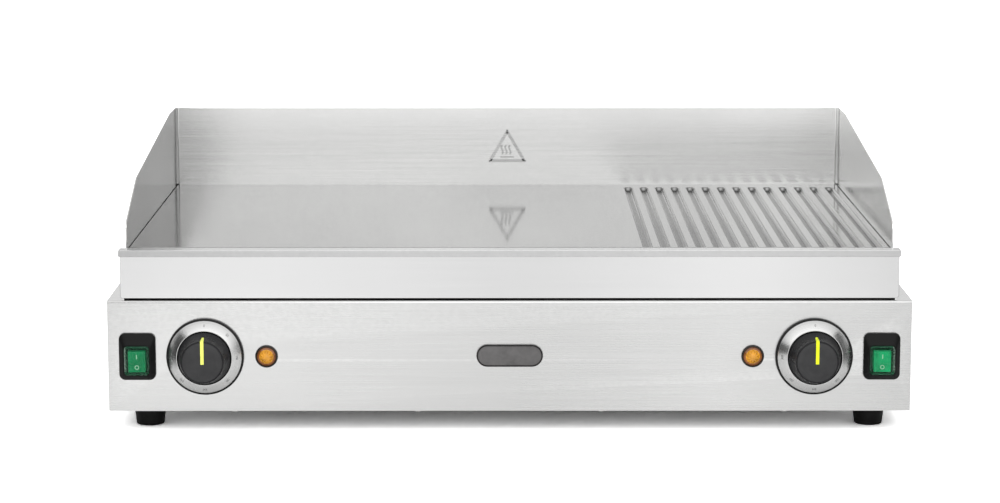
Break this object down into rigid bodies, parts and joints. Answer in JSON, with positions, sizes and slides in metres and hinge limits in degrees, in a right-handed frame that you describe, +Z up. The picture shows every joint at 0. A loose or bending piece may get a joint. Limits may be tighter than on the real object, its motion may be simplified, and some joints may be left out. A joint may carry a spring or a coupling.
{
  "type": "flat top griddle",
  "caption": "Electric countertop griddle with a part smooth, part ribbed plate, splash guard, pull-out grease tray and thermostat dials.",
  "frame": {"origin": "centre of the footprint, on the surface that the feet stand on", "axes": "+X to the right seen from the controls, +Y from the controls to the back, +Z up"},
  "size_m": [0.73, 0.512, 0.2454],
  "materials": {
    "housing_steel": "satin brushed, grain left to right",
    "guard_steel": "satin brushed, semi-sharp reflections",
    "plate_steel": "ground and polished, glossy",
    "tray_steel": "bright fine satin",
    "inner_steel": "mill finish",
    "fastener_zinc": "zinc plated",
    "foot_rubber": "matt moulded",
    "insulation_wool": "ceramic wool",
    "heater_sheath": "oxidised sheath",
    "copper_tube": "drawn tube",
    "thermostat_ceramic": "steatite",
    "dial_rim_black": "moulded, satin gloss",
    "dial_ring_aluminium": "spun, fine rings",
    "knob_black": "moulded, satin gloss",
    "knob_face_grey": "fine texture",
    "pointer_yellow": "moulded inlay",
    "lamp_bezel_black": "moulded",
    "lamp_lens_amber": "fluted, tinted",
    "switch_frame_rubber": "soft moulded",
    "switch_body_black": "moulded",
    "rocker_green": "translucent moulded",
    "switch_cover_clear": "clear, green tint",
    "badge_grey": "painted, raised rim",
    "bonding_brass": "machined",
    "wire_insulation": "silicone sleeve"
  },
  "bodies": {
    "base": {"housing_shell": "housing_steel", "back_panel": "housing_steel", "bottom_plate": "housing_steel", "back_screws": "fastener_zinc", "base_screws": "fastener_zinc", "front_left_foot": "foot_rubber", "front_right_foot": "foot_rubber", "rear_left_foot": "foot_rubber", "rear_right_foot": "foot_rubber", "foot_screws": "fastener_zinc", "left_guard": "guard_steel", "right_guard": "guard_steel", "back_guard": "guard_steel", "guard_screws": "fastener_zinc", "griddle_plate": "plate_steel", "left_plate_rail": "inner_steel", "right_plate_rail": "inner_steel", "bay_front_wall": "inner_steel", "insulation_pad": "insulation_wool", "heat_shield": "inner_steel", "left_heater": "heater_sheath", "right_heater": "heater_sheath", "left_clamp_bars": "inner_steel", "right_clamp_bars": "inner_steel", "clamp_fasteners": "fastener_zinc", "left_sensor": "copper_tube", "right_sensor": "copper_tube", "left_thermostat": "thermostat_ceramic", "right_thermostat": "thermostat_ceramic", "left_dial_rim": "dial_rim_black", "right_dial_rim": "dial_rim_black", "left_dial_ring": "dial_ring_aluminium", "right_dial_ring": "dial_ring_aluminium", "left_lamp_bezel": "lamp_bezel_black", "right_lamp_bezel": "lamp_bezel_black", "left_lamp_lens": "lamp_lens_amber", "right_lamp_lens": "lamp_lens_amber", "left_switch_frame": "switch_frame_rubber", "right_switch_frame": "switch_frame_rubber", "left_switch_body": "switch_body_black", "right_switch_body": "switch_body_black", "left_switch_cover": "switch_cover_clear", "right_switch_cover": "switch_cover_clear", "badge": "badge_grey", "tray_runners": "inner_steel", "terminal_block": "thermostat_ceramic", "cable_gland": "switch_body_black", "bonding_stud": "bonding_brass", "wiring": "wire_insulation"},
    "left_knob": {"left_knob": "knob_black", "left_knob_face": "knob_face_grey", "left_pointer": "pointer_yellow", "left_shaft": "fastener_zinc"},
    "right_knob": {"right_knob": "knob_black", "right_knob_face": "knob_face_grey", "right_pointer": "pointer_yellow", "right_shaft": "fastener_zinc"},
    "left_rocker": {"left_rocker": "rocker_green"},
    "right_rocker": {"right_rocker": "rocker_green"},
    "grease_tray": {"grease_tray": "tray_steel"}
  },
  "joints": [
    {"name": "left_knob_turn", "type": "hinge", "parent": "base", "child": "left_knob", "pos_m": [-0.2765, -0.226, 0.0708], "axis": [0, 1, 0], "range_deg": [0, 270]},
    {"name": "right_knob_turn", "type": "hinge", "parent": "base", "child": "right_knob", "pos_m": [0.2765, -0.226, 0.0708], "axis": [0, 1, 0], "range_deg": [0, 270]},
    {"name": "left_rocker_tilt", "type": "hinge", "parent": "base", "child": "left_rocker", "pos_m": [-0.338, -0.224, 0.068], "axis": [-1, 0, 0], "range_deg": [0, 14]},
    {"name": "right_rocker_tilt", "type": "hinge", "parent": "base", "child": "right_rocker", "pos_m": [0.338, -0.224, 0.068], "axis": [-1, 0, 0], "range_deg": [0, 14]},
    {"name": "grease_tray_slide", "type": "slide", "parent": "base", "child": "grease_tray", "axis": [0, -1, 0], "range_m": [0, 0.06]}
  ]
}
